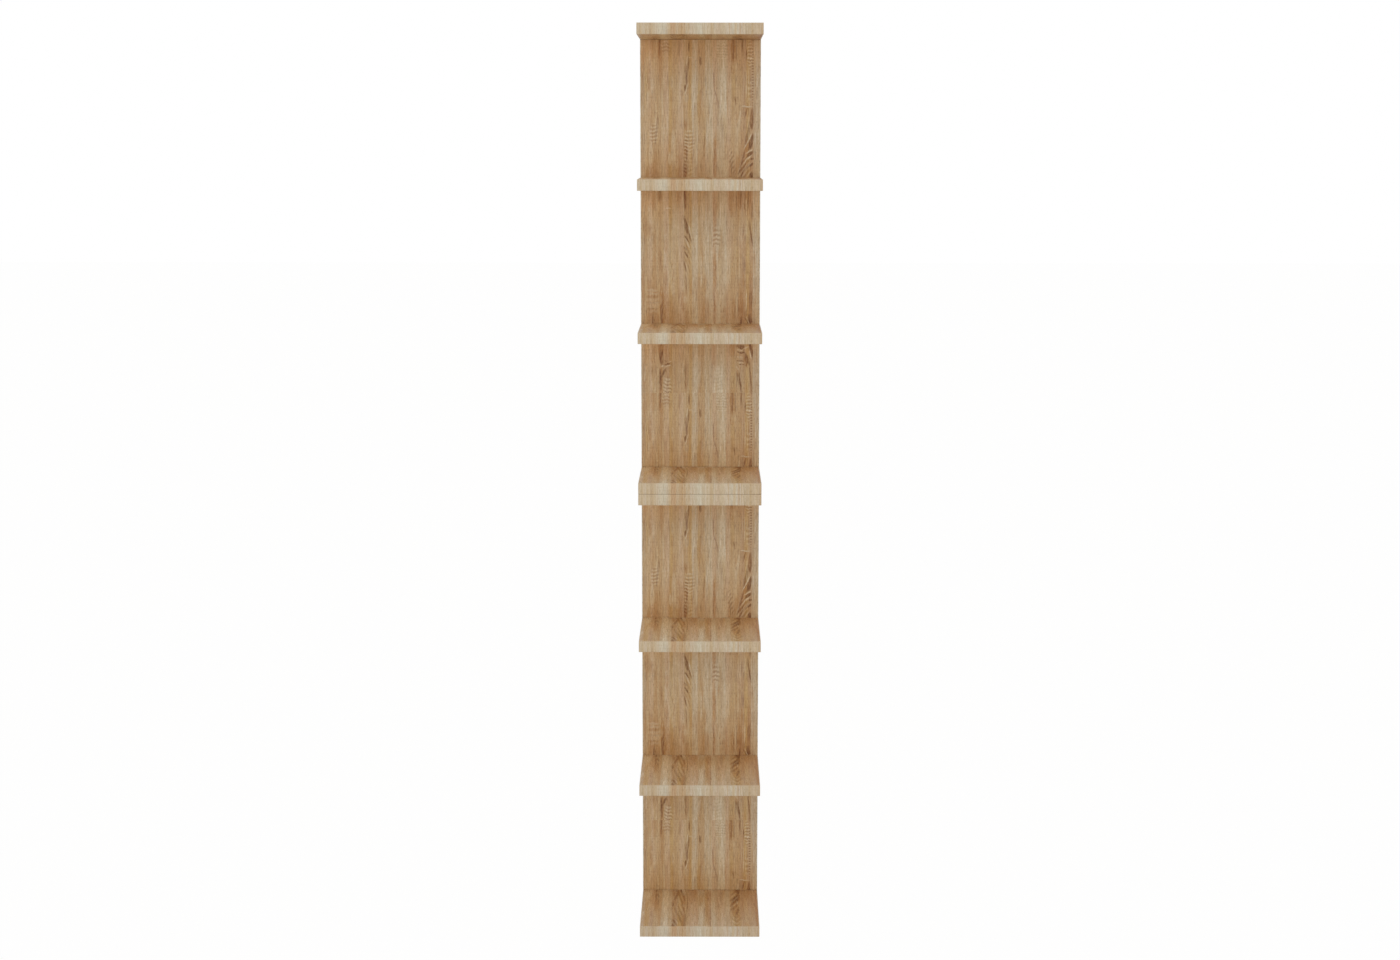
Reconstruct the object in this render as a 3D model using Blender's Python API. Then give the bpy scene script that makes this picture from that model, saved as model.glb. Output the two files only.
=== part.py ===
"""A tall, narrow wall shelf: two equal modules, one standing on the other.

Each module is a back panel with four square boards standing forward from it: one under the panel, one over
it, and the shelves between them against its front. They are faced board with bands glued on the edges that
show. Furniture screws and a dowel hold each board, and two keyhole plates sunk in the panel's back hang the
module on the wall.

Metres, +Z up. The front faces -Y, and the wall is the plane y = 0. The origin lies on the wall, midway
between the two points that the upper module hangs on. Left and right are as seen from the front.
"""

import math

import bmesh
import bpy
from mathutils import Vector

# The shelf as a whole
WIDTH = 0.200
DEPTH = 0.200
MODULE_HEIGHT = 0.750
SHELVES = ("shelf_1", "shelf_2")

# Boards, and the gap that pieces in contact keep
BOARD_THICKNESS = 0.018
PANEL_THICKNESS = 0.018
BAND_THICKNESS = 0.001
CONTACT_GAP = 0.0003

# Furniture screws, with a countersunk head and a hexagon socket
SCREW_LENGTH = 0.050
SCREW_DIAMETER = 0.007
SCREW_CORE_DIAMETER = 0.005
SCREW_HEAD_DIAMETER = 0.010
SCREW_HEAD_RIM = 0.0006
SCREW_SHOULDER = 0.014
SCREW_THREAD_STEP = 0.006
SCREW_TIP = 0.004
SOCKET_WIDTH = 0.004
SOCKET_DEPTH = 0.003
SCREW_INSET = 0.036

# Dowels: fluted, with chamfered ends
DOWEL_DIAMETER = 0.008
DOWEL_LENGTH = 0.035
DOWEL_DEPTH = 0.012
DOWEL_FLUTE = 0.0003
DOWEL_CHAMFER = 0.001
LOCATOR_LENGTH = 0.020
LOCATOR_INSET = 0.040

# Keyhole plates that the modules hang on
HANGER_THICKNESS = 0.002
HANGER_INSET = 0.036
HANGER_MARGIN = 0.010
HANGER_SIDE = 0.003
HANGER_END = 0.010
HANGER_CORNER = 0.004
KEYHOLE_ENTRY_DIAMETER = 0.009
KEYHOLE_SLOT_WIDTH = 0.0045
KEYHOLE_TRAVEL = 0.011
POCKET_MARGIN = 0.0015
POCKET_DEPTH = 0.008

# Small countersunk screws that hold the plates, with a cross recess
TACK_LENGTH = 0.012
TACK_DIAMETER = 0.003
TACK_CORE_DIAMETER = 0.0022
TACK_HEAD_DIAMETER = 0.0056
TACK_HEAD_RIM = 0.0002
TACK_TIP = 0.003
CROSS_ARM = 0.0016
CROSS_CORE = 0.0005
CROSS_DEPTH = 0.001

# Room around what sits in a hole, how far a head lies below its surface, and how far a cutter starts outside it
HOLE_CLEARANCE = 0.0003
HEAD_SINK = 0.0003
OVERCUT = 0.002

# Sides of a turned piece, and points of a quarter of a round corner
ROUND_SIDES = 12
DOWEL_SIDES = 16
CORNER_STEPS = 3

# What follows from these
CLEAR_HEIGHT = (MODULE_HEIGHT - (len(SHELVES) + 2) * BOARD_THICKNESS) / (len(SHELVES) + 1)
BOARD_PITCH = BOARD_THICKNESS + CLEAR_HEIGHT
TOP_BOARD_HEIGHT = MODULE_HEIGHT - BOARD_THICKNESS
SHELF_REAR = -PANEL_THICKNESS - CONTACT_GAP
BAND_ROOM = BAND_THICKNESS + CONTACT_GAP
POCKET_RADIUS = KEYHOLE_ENTRY_DIAMETER / 2 + POCKET_MARGIN
HANGER_REACH = POCKET_RADIUS + HANGER_END
HANGER_DROP = SCREW_LENGTH + HANGER_MARGIN + HANGER_REACH
UPPER_BASE = HANGER_DROP - MODULE_HEIGHT
LOWER_BASE = UPPER_BASE - CONTACT_GAP - MODULE_HEIGHT
SIDES = (("left", -1), ("right", 1))

# Turns of a piece drawn along Z, for what its top faces
FACING_UP = (0.0, 0.0, 0.0)
FACING_DOWN = (math.pi, 0.0, 0.0)
FACING_WALL = (-math.pi / 2, 0.0, 0.0)


def clear_scene():
    for item in list(bpy.data.objects):
        bpy.data.objects.remove(item, do_unlink=True)


def finish(name, colour, roughness, metallic=0.0):
    """A plain material in linear colour."""
    material = bpy.data.materials.new(name)
    material.use_nodes = True
    shader = material.node_tree.nodes["Principled BSDF"]
    shader.inputs["Base Color"].default_value = (*colour, 1.0)
    shader.inputs["Roughness"].default_value = roughness
    shader.inputs["Metallic"].default_value = metallic
    return material


def piece(name, shape, material, parent, place=(0.0, 0.0, 0.0), turn=FACING_UP, is_round=False):
    """Puts a drawn shape in the scene as an object, with its own origin at place in its parent's frame."""
    mesh = bpy.data.meshes.new(name)
    shape.to_mesh(mesh)
    shape.free()
    if is_round:
        mesh.shade_smooth()
        mesh.set_sharp_from_angle(angle=math.radians(40))
    if material:
        mesh.materials.append(material)
    made = bpy.data.objects.new(name, mesh)
    bpy.context.scene.collection.objects.link(made)
    made.parent = parent
    made.location = place
    made.rotation_euler = turn
    return made


def cut(name, shape, parent, place, turn, *targets):
    """Takes the shape out of each target."""
    cutter = piece(name, shape, None, parent, place, turn)
    cutter.hide_render = True
    cutter.display_type = "WIRE"
    for target in targets:
        hole = target.modifiers.new(name, "BOOLEAN")
        hole.operation = "DIFFERENCE"
        hole.object = cutter


def block(low, high):
    """A box between two opposite corners."""
    low, high = Vector(low), Vector(high)
    shape = bmesh.new()
    bmesh.ops.create_cube(shape, size=1.0)
    bmesh.ops.scale(shape, vec=high - low, verts=shape.verts)
    bmesh.ops.translate(shape, vec=(low + high) / 2, verts=shape.verts)
    return shape


def drawn_out(outline, start, end):
    """An outline in X and Y, drawn out along Z from start to end."""
    shape = bmesh.new()
    base = shape.faces.new([shape.verts.new((x, y, start)) for x, y in outline])
    grown = bmesh.ops.extrude_face_region(shape, geom=[base])["geom"]
    far = [item for item in grown if isinstance(item, bmesh.types.BMVert)]
    bmesh.ops.translate(shape, vec=(0.0, 0.0, end - start), verts=far)
    bmesh.ops.recalc_face_normals(shape, faces=shape.faces)
    return shape


def turned(profile, sides):
    """Rings around the Z axis, joined in order and capped at both ends. Each is a radius and a height, and the
    radius is a length or a function of the angle."""
    shape = bmesh.new()
    angles = [2 * math.pi * side / sides for side in range(sides)]
    rings = []
    for radius, height in profile:
        reach = [radius(angle) if callable(radius) else radius for angle in angles]
        points = [(r * math.cos(a), r * math.sin(a), height) for r, a in zip(reach, angles)]
        rings.append([shape.verts.new(point) for point in points])
    for ring, following in zip(rings, rings[1:]):
        for side in range(sides):
            shape.faces.new((ring[side - 1], ring[side], following[side], following[side - 1]))
    shape.faces.new(rings[0])
    shape.faces.new(rings[-1])
    bmesh.ops.recalc_face_normals(shape, faces=shape.faces)
    return shape


def arc(centre, radius, start, end, steps):
    """Points of an arc in X and Y, both ends among them."""
    angles = [start + (end - start) * step / steps for step in range(steps + 1)]
    return [(centre[0] + radius * math.cos(a), centre[1] + radius * math.sin(a)) for a in angles]


def rounded_outline(half_width, low, high, radius):
    """A rectangle with round corners, centred on x = 0."""
    quarter = math.pi / 2
    across, bottom, top = half_width - radius, low + radius, high - radius
    corners = ((across, bottom, -1), (across, top, 0), (-across, top, 1), (-across, bottom, 2))
    outline = []
    for x, y, turns in corners:
        outline += arc((x, y), radius, turns * quarter, (turns + 1) * quarter, CORNER_STEPS)
    return outline


def hexagon(angle):
    """The socket's outline: how far its wall lies from the axis at an angle."""
    off_flat = (angle + math.pi / 6) % (math.pi / 3) - math.pi / 6
    return SOCKET_WIDTH / 2 / math.cos(off_flat)


def cross(angle):
    """The cross recess's outline: long on the four arms, short between them."""
    on_arm = abs(math.sin(2 * angle)) < 0.5
    return CROSS_ARM if on_arm else CROSS_CORE


def flute(angle):
    """A dowel's outline: every second side point lies on a flute's floor."""
    side = round(angle / (2 * math.pi) * DOWEL_SIDES)
    return DOWEL_DIAMETER / 2 - (side % 2) * DOWEL_FLUTE


def screw_shape():
    """A furniture screw with its head's top at z = 0, pointing down: socket, head, shoulder, thread and tip."""
    head, shank, core = SCREW_HEAD_DIAMETER / 2, SCREW_DIAMETER / 2, SCREW_CORE_DIAMETER / 2
    cone_end = SCREW_HEAD_RIM + head - shank
    thread_end = SCREW_LENGTH - SCREW_TIP
    turns = int((thread_end - SCREW_SHOULDER) / SCREW_THREAD_STEP)
    profile = [(hexagon, -SOCKET_DEPTH), (hexagon, 0.0), (head, 0.0), (head, -SCREW_HEAD_RIM)]
    profile += [(shank, -cone_end), (shank, -SCREW_SHOULDER)]
    for ridge in range(turns):
        foot = -SCREW_SHOULDER - ridge * SCREW_THREAD_STEP
        profile += [(core, foot - SCREW_THREAD_STEP / 2), (shank, foot - SCREW_THREAD_STEP)]
    profile += [(core, -thread_end - SCREW_TIP / 4), (core / 2, -SCREW_LENGTH)]
    return turned(profile, ROUND_SIDES)


def screw_hole():
    """The room for a furniture screw whose head lies HEAD_SINK below z = 0."""
    head = SCREW_HEAD_DIAMETER / 2 + HOLE_CLEARANCE
    shank = SCREW_DIAMETER / 2 + HOLE_CLEARANCE
    rim = -HEAD_SINK - SCREW_HEAD_RIM
    end = -HEAD_SINK - SCREW_LENGTH - HOLE_CLEARANCE
    profile = [(head, OVERCUT), (head, rim), (shank, rim - (head - shank)), (shank, end)]
    return turned(profile, ROUND_SIDES)


def tack_shape():
    """A small screw with its head's top at z = 0, pointing down."""
    head, shank, core = TACK_HEAD_DIAMETER / 2, TACK_DIAMETER / 2, TACK_CORE_DIAMETER / 2
    cone_end = TACK_HEAD_RIM + head - shank
    profile = [(cross, -CROSS_DEPTH), (cross, 0.0), (head, 0.0), (head, -TACK_HEAD_RIM)]
    profile += [(shank, -cone_end), (shank, TACK_TIP - TACK_LENGTH), (core / 2, -TACK_LENGTH)]
    return turned(profile, ROUND_SIDES)


def tack_hole():
    """The room for a small screw whose head lies HEAD_SINK below z = 0."""
    head = TACK_HEAD_DIAMETER / 2 + HOLE_CLEARANCE
    shank = TACK_DIAMETER / 2 + HOLE_CLEARANCE
    rim = -HEAD_SINK - TACK_HEAD_RIM
    end = -HEAD_SINK - TACK_LENGTH - HOLE_CLEARANCE
    profile = [(head, OVERCUT), (head, rim), (shank, rim - (head - shank)), (shank, end)]
    return turned(profile, ROUND_SIDES)


def dowel_shape(length):
    """A fluted dowel along Z, centred on its origin."""
    end, shoulder = length / 2, length / 2 - DOWEL_CHAMFER
    tip = DOWEL_DIAMETER / 2 - DOWEL_CHAMFER
    return turned([(tip, end), (flute, shoulder), (flute, -shoulder), (tip, -end)], DOWEL_SIDES)


def dowel_hole(length):
    """The room for a dowel of this length."""
    radius = DOWEL_DIAMETER / 2 + HOLE_CLEARANCE
    end = length / 2 + HOLE_CLEARANCE
    return turned([(radius, end), (radius, -end)], DOWEL_SIDES)


def plate_outline(room=0.0):
    """A hanger plate's outline around the hang point, or that outline grown by some room."""
    half_width = POCKET_RADIUS + HANGER_SIDE + room
    low = -KEYHOLE_TRAVEL - HANGER_REACH - room
    return rounded_outline(half_width, low, HANGER_REACH + room, HANGER_CORNER + room)


def keyhole_outline():
    """A slot that ends round the hang point, and opens below into the round entry for the wall screw's head."""
    slot, entry = KEYHOLE_SLOT_WIDTH / 2, KEYHOLE_ENTRY_DIAMETER / 2
    meeting = math.acos(slot / entry)
    slot_end = arc((0.0, 0.0), slot, 0.0, math.pi, 2 * CORNER_STEPS)
    entry_round = arc((0.0, -KEYHOLE_TRAVEL), entry, math.pi - meeting, 2 * math.pi + meeting, 4 * CORNER_STEPS)
    return slot_end + entry_round


def pocket_outline():
    """The hollow behind the keyhole, in which the wall screw's head travels."""
    top = arc((0.0, 0.0), POCKET_RADIUS, 0.0, math.pi, 2 * CORNER_STEPS)
    bottom = arc((0.0, -KEYHOLE_TRAVEL), POCKET_RADIUS, math.pi, 2 * math.pi, 2 * CORNER_STEPS)
    return top + bottom


def make_panel(module, prefix):
    """The upright back panel between the bottom board and the top board, with a band on each side edge."""
    low = BOARD_THICKNESS + CONTACT_GAP
    high = TOP_BOARD_HEIGHT - CONTACT_GAP
    half = WIDTH / 2 - BAND_ROOM
    shape = block((-half, -PANEL_THICKNESS, low), (half, 0.0, high))
    panel = piece(prefix + "back_panel", shape, FACED_BOARD, module)
    for side, sign in SIDES:
        edges = sorted((sign * WIDTH / 2, sign * (WIDTH / 2 - BAND_THICKNESS)))
        shape = block((edges[0], -PANEL_THICKNESS, low), (edges[1], 0.0, high))
        piece(f"{prefix}back_panel_band_{side}", shape, EDGE_BAND, module)
    return panel


def make_board(module, name, height, rear):
    """A board standing forward, its rear edge at y = rear, with a band round its front and both sides."""
    half = WIDTH / 2 - BAND_ROOM
    shape = block((-half, -DEPTH + BAND_ROOM, 0.0), (half, rear, BOARD_THICKNESS))
    board = piece(name, shape, FACED_BOARD, module, (0.0, 0.0, height))
    outer, inner = WIDTH / 2, WIDTH / 2 - BAND_THICKNESS
    front, front_inner = -DEPTH, -DEPTH + BAND_THICKNESS
    outline = [(-outer, rear), (-outer, front), (outer, front), (outer, rear)]
    outline += [(inner, rear), (inner, front_inner), (-inner, front_inner), (-inner, rear)]
    band = drawn_out(outline, 0.0, BOARD_THICKNESS)
    piece(name + "_band", band, EDGE_BAND, module, (0.0, 0.0, height))
    return board


def drive_screws(module, name, board, panel, head, turn):
    """Two furniture screws through one piece into the other. head is where their heads' surface lies, on the
    shelf's middle plane."""
    for side, sign in SIDES:
        entry = Vector(head) + Vector((sign * (WIDTH / 2 - SCREW_INSET), 0.0, 0.0))
        cut(f"cut_{name}_screw_{side}", screw_hole(), module, entry, turn, board, panel)
        inward = Vector((0.0, -HEAD_SINK, 0.0)) if turn == FACING_WALL else Vector((0.0, 0.0, -HEAD_SINK))
        if turn == FACING_DOWN:
            inward = -inward
        piece(f"{name}_screw_{side}", screw_shape(), ZINC_STEEL, module, entry + inward, turn, is_round=True)


def set_dowel(module, name, length, place, turn, *targets):
    """A dowel, and the blind holes that it sits in."""
    cut("cut_" + name, dowel_hole(length), module, place, turn, *targets)
    piece(name, dowel_shape(length), BEECH, module, place, turn, is_round=True)


def make_hanger(module, name, panel, sign):
    """A keyhole plate sunk flush in the panel's back, over a pocket for the wall screw's head, and its two
    screws."""
    hang = Vector((sign * (WIDTH / 2 - HANGER_INSET), 0.0, MODULE_HEIGHT - HANGER_DROP))
    face, floor = -HEAD_SINK, -HEAD_SINK - HANGER_THICKNESS
    recess = floor - CONTACT_GAP
    upright = (math.pi / 2, 0.0, 0.0)
    cut(f"cut_{name}_recess", drawn_out(plate_outline(HOLE_CLEARANCE), -OVERCUT, -recess), module, hang, upright, panel)
    pocket = drawn_out(pocket_outline(), -OVERCUT, POCKET_DEPTH - recess)
    cut(f"cut_{name}_pocket", pocket, module, hang, upright, panel)
    plate = piece(name, drawn_out(plate_outline(), -face, -floor), HANGER_STEEL, module, hang, upright)
    keyhole = drawn_out(keyhole_outline(), -OVERCUT, OVERCUT - floor)
    cut(f"cut_{name}_keyhole", keyhole, module, hang, upright, plate)
    middle_of_end = POCKET_RADIUS + HANGER_END / 2
    for end, height in (("top", middle_of_end), ("bottom", -KEYHOLE_TRAVEL - middle_of_end)):
        place = hang + Vector((0.0, 0.0, height))
        cut(f"cut_{name}_screw_{end}", tack_hole(), module, place, FACING_WALL, plate, panel)
        sunk = place - Vector((0.0, HEAD_SINK, 0.0))
        piece(f"{name}_screw_{end}", tack_shape(), ZINC_STEEL, module, sunk, FACING_WALL, is_round=True)


def make_module(prefix, base):
    """One module on its own empty at the height of its underside. Returns its bottom and its top board."""
    module = bpy.data.objects.new(prefix + "module", None)
    bpy.context.scene.collection.objects.link(module)
    module.location = (0.0, 0.0, base)
    panel = make_panel(module, prefix)
    panel_middle = -PANEL_THICKNESS / 2

    name = prefix + "bottom_board"
    bottom = make_board(module, name, 0.0, 0.0)
    drive_screws(module, name, bottom, panel, (0.0, panel_middle, 0.0), FACING_DOWN)
    middle = BOARD_THICKNESS - DOWEL_DEPTH + DOWEL_LENGTH / 2
    set_dowel(module, name + "_dowel", DOWEL_LENGTH, (0.0, panel_middle, middle), FACING_UP, bottom, panel)

    for number, shelf_name in enumerate(SHELVES, start=1):
        name = prefix + shelf_name
        shelf = make_board(module, name, number * BOARD_PITCH, SHELF_REAR)
        level = number * BOARD_PITCH + BOARD_THICKNESS / 2
        drive_screws(module, name, shelf, panel, (0.0, 0.0, level), FACING_WALL)
        middle = -PANEL_THICKNESS + DOWEL_DEPTH - DOWEL_LENGTH / 2
        set_dowel(module, name + "_dowel", DOWEL_LENGTH, (0.0, middle, level), FACING_WALL, shelf, panel)

    name = prefix + "top_board"
    top = make_board(module, name, TOP_BOARD_HEIGHT, 0.0)
    drive_screws(module, name, top, panel, (0.0, panel_middle, MODULE_HEIGHT), FACING_UP)
    middle = TOP_BOARD_HEIGHT + DOWEL_DEPTH - DOWEL_LENGTH / 2
    set_dowel(module, name + "_dowel", DOWEL_LENGTH, (0.0, panel_middle, middle), FACING_UP, top, panel)

    for side, sign in SIDES:
        make_hanger(module, f"{prefix}hanger_{side}", panel, sign)
    return bottom, top


def join_modules(below, above):
    """Two short dowels across the seam, half in the lower module's top board and half in the upper's bottom."""
    for side, sign in SIDES:
        place = (sign * (WIDTH / 2 - LOCATOR_INSET), -DEPTH / 2, UPPER_BASE - CONTACT_GAP / 2)
        set_dowel(None, "locating_dowel_" + side, LOCATOR_LENGTH, place, FACING_UP, below, above)


clear_scene()
FACED_BOARD = finish("faced_board", (0.40, 0.27, 0.155), 0.5)
EDGE_BAND = finish("edge_band", (0.48, 0.36, 0.23), 0.5)
BEECH = finish("beech", (0.58, 0.39, 0.22), 0.7)
ZINC_STEEL = finish("zinc_steel", (0.62, 0.62, 0.60), 0.3, 1.0)
HANGER_STEEL = finish("hanger_steel", (0.50, 0.50, 0.50), 0.4, 1.0)
lower_bottom, lower_top = make_module("lower_", LOWER_BASE)
upper_bottom, upper_top = make_module("upper_", UPPER_BASE)
join_modules(lower_top, upper_bottom)
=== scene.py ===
import math

import bmesh
import bpy
import numpy as np
from mathutils import Matrix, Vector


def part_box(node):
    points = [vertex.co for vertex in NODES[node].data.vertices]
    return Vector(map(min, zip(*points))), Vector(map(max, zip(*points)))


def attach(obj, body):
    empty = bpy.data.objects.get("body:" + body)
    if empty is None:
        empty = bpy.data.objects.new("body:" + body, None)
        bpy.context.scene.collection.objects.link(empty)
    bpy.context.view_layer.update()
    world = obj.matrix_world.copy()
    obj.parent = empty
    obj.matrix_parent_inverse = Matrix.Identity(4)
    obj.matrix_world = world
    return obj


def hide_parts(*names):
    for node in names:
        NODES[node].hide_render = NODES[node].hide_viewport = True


# The looks of a wall shelf of limed-oak board, two modules one on the other. Pieces are in metres. The
# front faces -Y, and the wall is the plane y = 0. Patterns are in millimetres, at the scale of the real
# facing.

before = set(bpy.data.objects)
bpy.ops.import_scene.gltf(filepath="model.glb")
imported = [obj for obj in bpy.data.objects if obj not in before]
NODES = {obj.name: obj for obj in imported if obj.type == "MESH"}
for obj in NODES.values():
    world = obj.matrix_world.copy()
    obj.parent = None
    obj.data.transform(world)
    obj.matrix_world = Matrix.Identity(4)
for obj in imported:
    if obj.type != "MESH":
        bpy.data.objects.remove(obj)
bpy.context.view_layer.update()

MODULES = ("lower_", "upper_")
SIDES = ("left", "right")
MM = 0.001

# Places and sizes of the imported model
UPPER_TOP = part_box("upper_top_board")[1].z
LOWER_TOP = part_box("lower_top_board")[1].z
MODULE_STEP = UPPER_TOP - LOWER_TOP
MODULE_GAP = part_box("upper_bottom_board")[0].z - LOWER_TOP
BAND_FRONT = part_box("upper_shelf_1_band")[0].y
BAND_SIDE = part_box("upper_shelf_1_band")[1].x
BOARD_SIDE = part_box("upper_shelf_1")[1].x

# The same in millimetres, for the patterns: from board to board, a board's thickness, the clear height
# between boards, the wall's depth behind the front edge, and the top of a panel and half its thickness
STEP = (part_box("upper_shelf_2")[1].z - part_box("upper_shelf_1")[1].z) / MM
THICKNESS = (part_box("upper_shelf_1")[1].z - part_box("upper_shelf_1")[0].z) / MM
CLEAR = STEP - THICKNESS
WALL_DEPTH = -BAND_FRONT / MM
PANEL_START = (UPPER_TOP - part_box("upper_back_panel")[1].z) / MM
PANEL_HALF = -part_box("upper_back_panel")[0].y / MM / 2

# Edge bands: from their outer face to the board, the radii of their long edges and of their front corners,
# the points of each of those arcs, and the rows of a band on a panel
STRIP_DEPTH = BAND_SIDE - BOARD_SIDE
STRIP_SOFTNESS = 0.45 * MM
STRIP_CORNER = 0.9 * MM
EDGE_POINTS = 6
CORNER_POINTS = 7
UPRIGHT_ROWS = 9

# Screws: the radii of the head, the shank and the thread's core, the head's rim, the plain shoulder, the
# thread's pitch, the tip, the whole length, the depth of the recess, and how far the recess opens at the
# head's top at least
CARCASS_SCREW = {
    "head": 5 * MM, "shank": 3.5 * MM, "core": 2.5 * MM, "rim": 0.6 * MM, "shoulder": 14 * MM,
    "pitch": 3 * MM, "tip": 4 * MM, "length": 50 * MM, "recess": 3 * MM, "mouth": 2.55 * MM,
}
TACK = {
    "head": 2.8 * MM, "shank": 1.5 * MM, "core": 1.1 * MM, "rim": 0.2 * MM, "shoulder": 2.5 * MM,
    "pitch": 1.2 * MM, "tip": 3 * MM, "length": 12 * MM, "recess": 1 * MM, "mouth": 0.0,
}
SOCKET_WIDTH = 4 * MM
CROSS_ARM = 1.6 * MM
CROSS_CORE = 0.5 * MM
SCREW_SIDES = 48
ROWS_A_TURN = 10

# The rows of a recess from its bottom up, as shares of its width and of its depth, and how far it is
# chamfered at the head's top
RECESS_ROWS = ((0.4, 1.15), (0.97, 1.0), (1.0, 0.12))
CHAMFER = 1.06

# The side that a board's screws are driven in from
DRIVEN_FROM = {"bottom_board": (0, 0, -1), "shelf_1": (0, 1, 0), "shelf_2": (0, 1, 0), "top_board": (0, 0, 1)}

# Keyhole plates: how far their edges are taken off
PLATE_BEVEL = 0.2 * MM

# Surroundings
FLOOR_HEIGHT = -1.95
FLOOR_REACH = 30.0
FLOOR_TONE = (0.75, 0.71, 0.65, 1.0)
FLOOR_WHITENESS = 0.97
LAMP_PLACE = (-1.2, -4.4, 0.7)
LAMP_AIM = (0.0, -0.1, 0.9)
LAMP_SIZE = 3.0
LAMP_POWER = 28.5
SKY_LEVEL = 1.02
WHITE = (1.0, 1.0, 1.0, 1.0)

# The camera, worked out from the edges of the boards in the photograph: its place, how far it looks down
# and how far it is turned, in degrees, and its lens in mm
CAMERA_PLACE = (0.0155, -3.7058, UPPER_TOP - 0.18405)
CAMERA_PITCH = 8.795
CAMERA_TURN = 0.061
SENSOR_WIDTH = 36.0
FOCAL_LENGTH = 56.31
FRAME_SHIFT = -0.00672

# A smooth step never leaves its range, so it needs no clamp
SMOOTH = {"interpolation_type": "SMOOTHSTEP", "clamp": False}


def screen(red, green, blue):
    """A linear colour from an 8-bit screen colour."""
    shares = np.array([red, green, blue]) / 255
    linear = np.where(shares <= 0.04045, shares / 12.92, ((shares + 0.055) / 1.055) ** 2.4)
    return (*linear.tolist(), 1.0)


class Wire:
    """A value on its way from one shader node to the next. Arithmetic on it adds Math nodes."""

    def __init__(self, nodes, socket):
        self.nodes = nodes
        self.socket = socket

    def maths(self, operation, *values):
        return self.nodes.node("ShaderNodeMath", {"operation": operation}, dict(enumerate(values)))

    def __add__(self, other):
        return self.maths("ADD", self, other)

    __radd__ = __add__

    def __sub__(self, other):
        return self.maths("SUBTRACT", self, other)

    def __rsub__(self, other):
        return self.maths("SUBTRACT", other, self)

    def __mul__(self, other):
        return self.maths("MULTIPLY", self, other)

    __rmul__ = __mul__

    def __mod__(self, step):
        return self.maths("FLOORED_MODULO", self, step)

    def __gt__(self, other):
        return self.maths("GREATER_THAN", self, other)

    def __lt__(self, other):
        return self.maths("LESS_THAN", self, other)

    def __abs__(self):
        return self.maths("ABSOLUTE", self)

    def sine(self):
        return self.maths("SINE", self)

    def larger(self, other):
        return self.maths("MAXIMUM", self, other)

    def rise(self, start, end):
        """0 up to start, 1 from end on, and a smooth step between. It falls where end is the lower of the
        two."""
        sockets = {"Value": self, "From Min": start, "From Max": end}
        return self.nodes.node("ShaderNodeMapRange", SMOOTH, sockets)


class Nodes:
    """A tree of shader nodes."""

    def __init__(self, tree):
        self.tree = tree

    def feed(self, made, sockets):
        """Gives a node's input sockets their values or links."""
        for name, value in sockets.items():
            if isinstance(value, Wire):
                self.tree.links.new(value.socket, made.inputs[name])
            else:
                made.inputs[name].default_value = value

    def node(self, kind, settings=None, sockets=None, out=0):
        """Adds a node with its settings, then feeds its input sockets, and returns one of its outputs."""
        made = self.tree.nodes.new(kind)
        for name, value in (settings or {}).items():
            if name == "stops":
                self.fill_ramp(made.color_ramp, value)
            else:
                setattr(made, name, value)
        self.feed(made, sockets or {})
        return Wire(self, made.outputs[out])

    @staticmethod
    def fill_ramp(ramp, stops):
        while len(ramp.elements) > 1:
            ramp.elements.remove(ramp.elements[-1])
        for count, (position, colour) in enumerate(stops):
            stop = ramp.elements[0] if count == 0 else ramp.elements.new(position)
            stop.position = position
            stop.color = colour

    def seen(self):
        """1 for what the camera sees, directly, in a reflection or through glass, and 0 for what only gives
        light."""
        rays = self.node("ShaderNodeLightPath").socket.node.outputs
        kinds = ("Camera", "Glossy", "Transmission")
        camera, glossy, clear = (Wire(self, rays[f"Is {kind} Ray"]) for kind in kinds)
        return camera.larger(glossy).larger(clear)


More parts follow.
